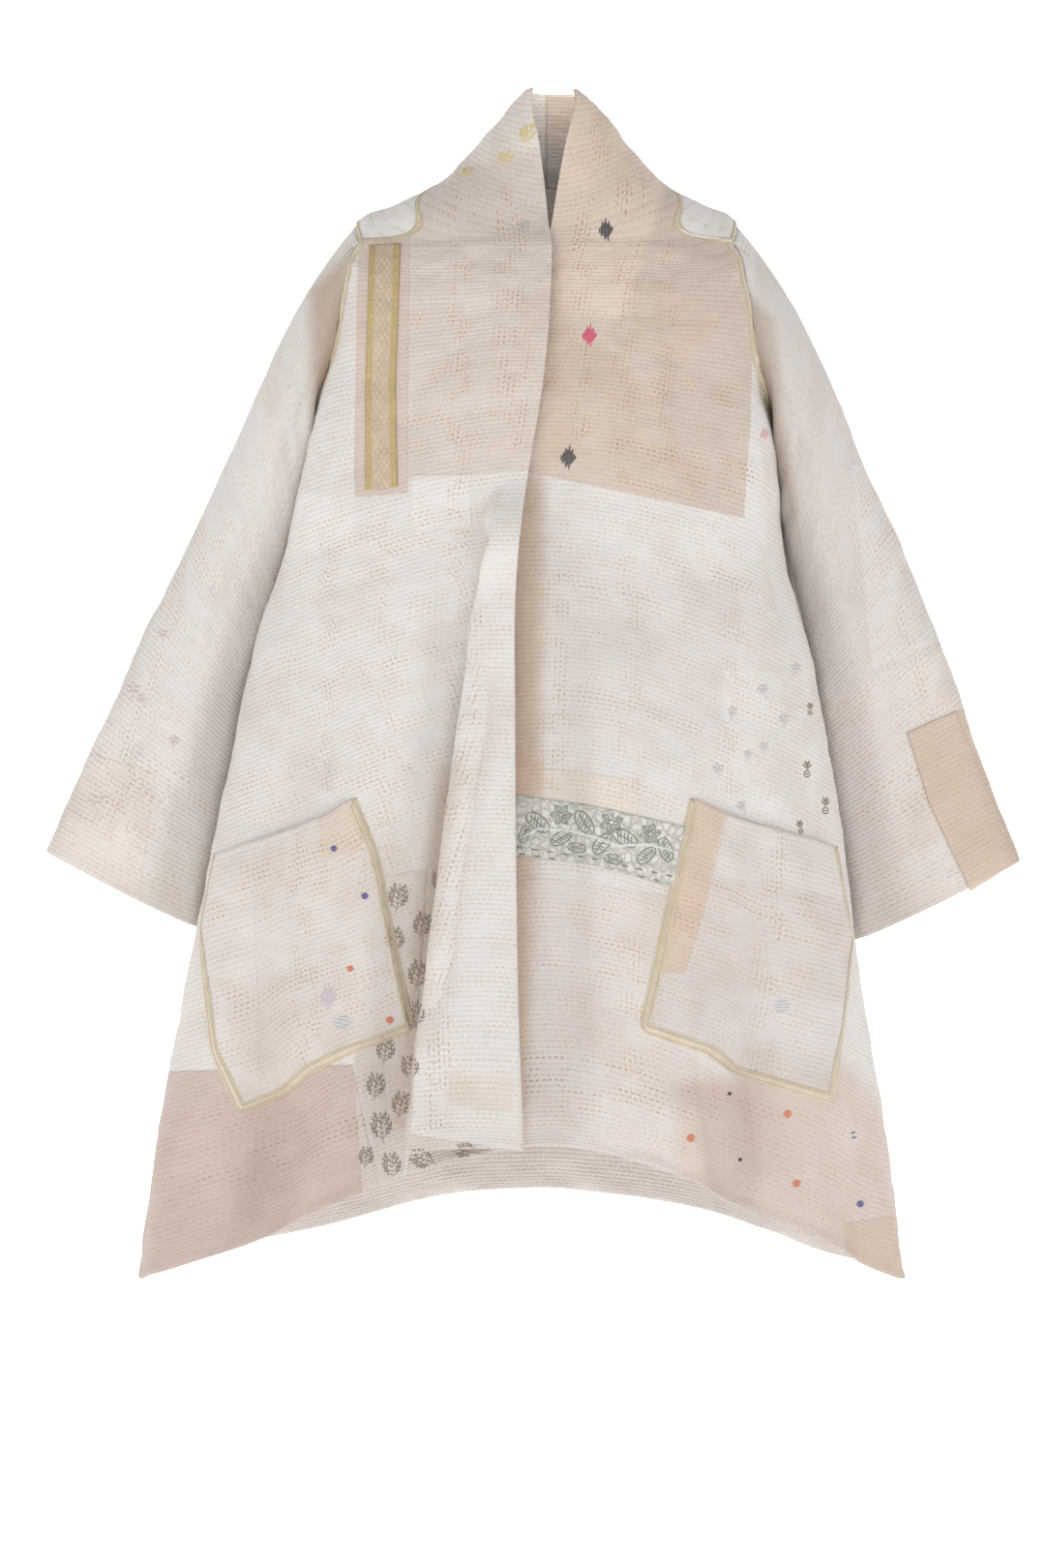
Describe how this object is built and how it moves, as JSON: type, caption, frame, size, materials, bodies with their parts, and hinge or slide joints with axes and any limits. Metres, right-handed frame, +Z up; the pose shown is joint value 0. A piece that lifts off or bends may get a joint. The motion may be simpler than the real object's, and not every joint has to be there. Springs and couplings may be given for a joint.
{
  "type": "kantha jacket",
  "caption": "Open-front quilted patchwork cotton jacket with a grown-on funnel collar, wide sleeves and slanted patch pockets, standing hollow as if worn.",
  "frame": {"origin": "middle of the base of the neck, level with the top of the shoulders, inside the open neck", "axes": "+Z up through the neck, -Y towards the front, +X towards the wearer's left"},
  "size_m": [0.872, 0.3751, 1.0538],
  "materials": {
    "quilted_cotton": "matte, washed and puckered by running stitches",
    "seam_tape": "matte twill tape",
    "gold_brocade": "soft metallic weave",
    "silver_brocade": "soft metallic weave",
    "beige_cotton": "matte"
  },
  "bodies": {
    "root": {"front_right": "quilted_cotton", "front_left": "quilted_cotton", "back": "quilted_cotton", "sleeve_right": "quilted_cotton", "sleeve_left": "quilted_cotton", "pocket_right": "quilted_cotton", "pocket_left": "quilted_cotton", "pocket_tape_right": "seam_tape", "pocket_tape_left": "seam_tape", "shoulder_tape_right": "seam_tape", "shoulder_tape_left": "seam_tape", "armhole_tape_right": "seam_tape", "armhole_tape_left": "seam_tape", "sleeve_tape_right": "seam_tape", "sleeve_tape_left": "seam_tape", "neck_tape": "seam_tape", "collar_tape": "seam_tape", "gold_border": "gold_brocade", "silver_border": "silver_brocade", "cuff_patch": "beige_cotton"}
  },
  "joints": []
}
